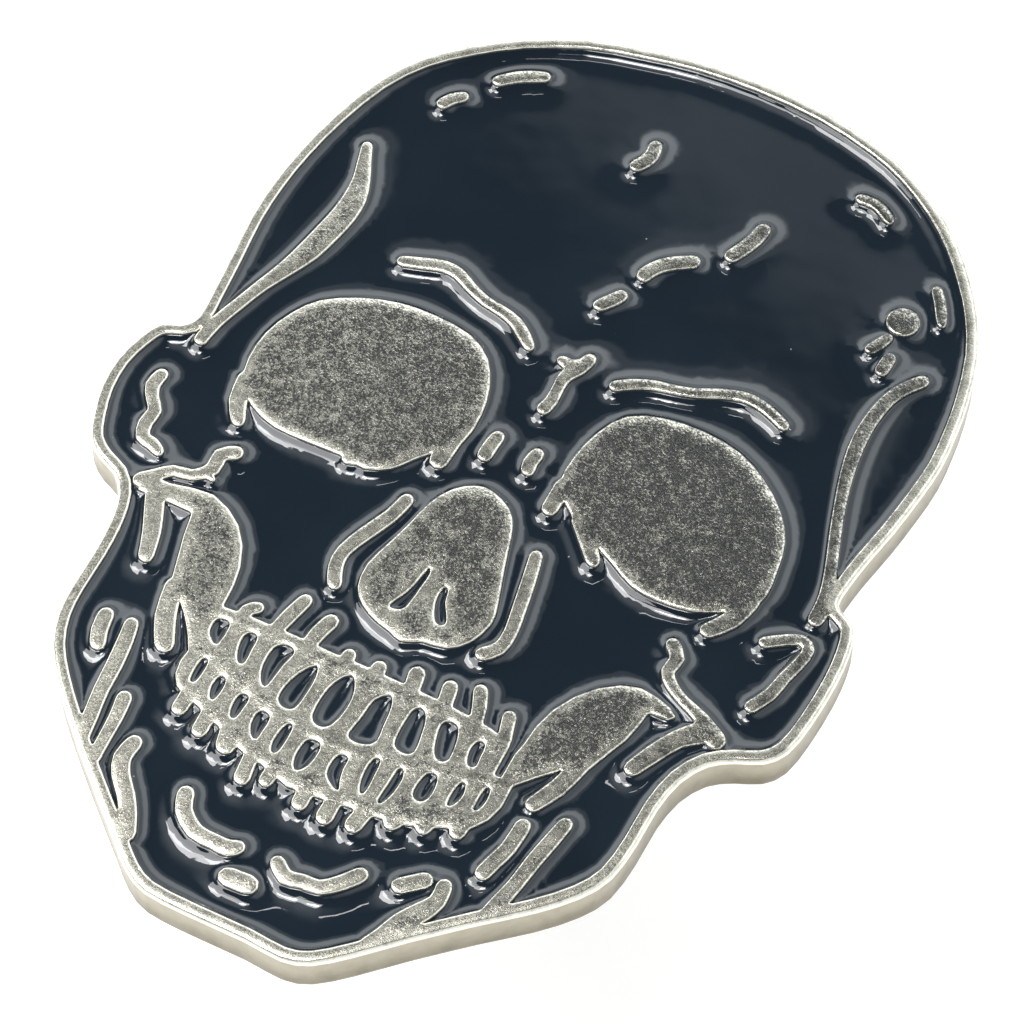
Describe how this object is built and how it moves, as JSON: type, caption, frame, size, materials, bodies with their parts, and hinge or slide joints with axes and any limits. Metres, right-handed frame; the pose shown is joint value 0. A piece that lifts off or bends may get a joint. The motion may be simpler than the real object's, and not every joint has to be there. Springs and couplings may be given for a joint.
{
  "type": "soft enamel pin",
  "caption": "Skull-shaped soft enamel pin with raised nickel lines, dark glossy enamel, soldered posts and butterfly clutches that slide off, turn and squeeze open.",
  "frame": {"origin": "centre of the face in plan, at the level of the wings' tips that the pin lies on", "axes": "+X to the right of the face, +Y from chin to crown, +Z out of the face"},
  "size_m": [0.0264, 0.0373, 0.0079],
  "materials": {
    "nickel_plate": "sandblasted satin nickel",
    "enamel": "glossy baked enamel",
    "post_steel": "bright nickel",
    "solder": "dull",
    "clutch_nickel": "nickel-plated sheet"
  },
  "bodies": {
    "pin": {"plate": "nickel_plate", "enamel_field": "enamel", "enamel_upper_1": "enamel", "enamel_upper_2": "enamel", "enamel_upper_3": "enamel", "enamel_upper_4": "enamel", "enamel_upper_5": "enamel", "enamel_upper_6": "enamel", "enamel_upper_7": "enamel", "enamel_upper_8": "enamel", "enamel_upper_9": "enamel", "enamel_lower_1": "enamel", "enamel_lower_2": "enamel", "enamel_lower_3": "enamel", "enamel_lower_4": "enamel", "enamel_lower_5": "enamel", "enamel_lower_6": "enamel", "enamel_lower_7": "enamel", "enamel_lower_8": "enamel", "enamel_lower_9": "enamel", "enamel_lower_10": "enamel", "enamel_lower_11": "enamel", "enamel_lower_12": "enamel", "enamel_nostril_left": "enamel", "enamel_nostril_right": "enamel", "post_top": "post_steel", "post_bottom": "post_steel", "solder_top": "solder", "solder_bottom": "solder"},
    "cup_top": {"cup_top": "clutch_nickel"},
    "saddle_top": {"saddle_top": "clutch_nickel"},
    "wing_left_top": {"wing_left_top": "clutch_nickel"},
    "wing_right_top": {"wing_right_top": "clutch_nickel"},
    "cup_bottom": {"cup_bottom": "clutch_nickel"},
    "saddle_bottom": {"saddle_bottom": "clutch_nickel"},
    "wing_left_bottom": {"wing_left_bottom": "clutch_nickel"},
    "wing_right_bottom": {"wing_right_bottom": "clutch_nickel"}
  },
  "joints": [
    {"name": "clutch_top_slide", "type": "slide", "parent": "pin", "child": "cup_top", "axis": [0, 0, -1], "range_m": [0, 0.0065]},
    {"name": "clutch_top_spin", "type": "hinge", "parent": "cup_top", "child": "saddle_top", "pos_m": [0, 0.009, 0.004], "axis": [0, 0, 1], "continuous": true},
    {"name": "wing_left_top_squeeze", "type": "hinge", "parent": "saddle_top", "child": "wing_left_top", "pos_m": [-0.00145, 0.009, 0.0034], "axis": [0, -1, 0], "range_deg": [0, 12], "stiffness_Nm_per_rad": 0.02},
    {"name": "wing_right_top_squeeze", "type": "hinge", "parent": "saddle_top", "child": "wing_right_top", "pos_m": [0.00145, 0.009, 0.0034], "axis": [0, 1, 0], "range_deg": [0, 12], "stiffness_Nm_per_rad": 0.02},
    {"name": "clutch_bottom_slide", "type": "slide", "parent": "pin", "child": "cup_bottom", "axis": [0, 0, -1], "range_m": [0, 0.0065]},
    {"name": "clutch_bottom_spin", "type": "hinge", "parent": "cup_bottom", "child": "saddle_bottom", "pos_m": [0, -0.0048, 0.004], "axis": [0, 0, 1], "continuous": true},
    {"name": "wing_left_bottom_squeeze", "type": "hinge", "parent": "saddle_bottom", "child": "wing_left_bottom", "pos_m": [-0.00145, -0.0048, 0.0034], "axis": [0, -1, 0], "range_deg": [0, 12], "stiffness_Nm_per_rad": 0.02},
    {"name": "wing_right_bottom_squeeze", "type": "hinge", "parent": "saddle_bottom", "child": "wing_right_bottom", "pos_m": [0.00145, -0.0048, 0.0034], "axis": [0, 1, 0], "range_deg": [0, 12], "stiffness_Nm_per_rad": 0.02}
  ],
  "couplings": [
    {"joint": "wing_right_top_squeeze", "follows": "wing_left_top_squeeze", "ratio": 1},
    {"joint": "wing_right_bottom_squeeze", "follows": "wing_left_bottom_squeeze", "ratio": 1}
  ]
}
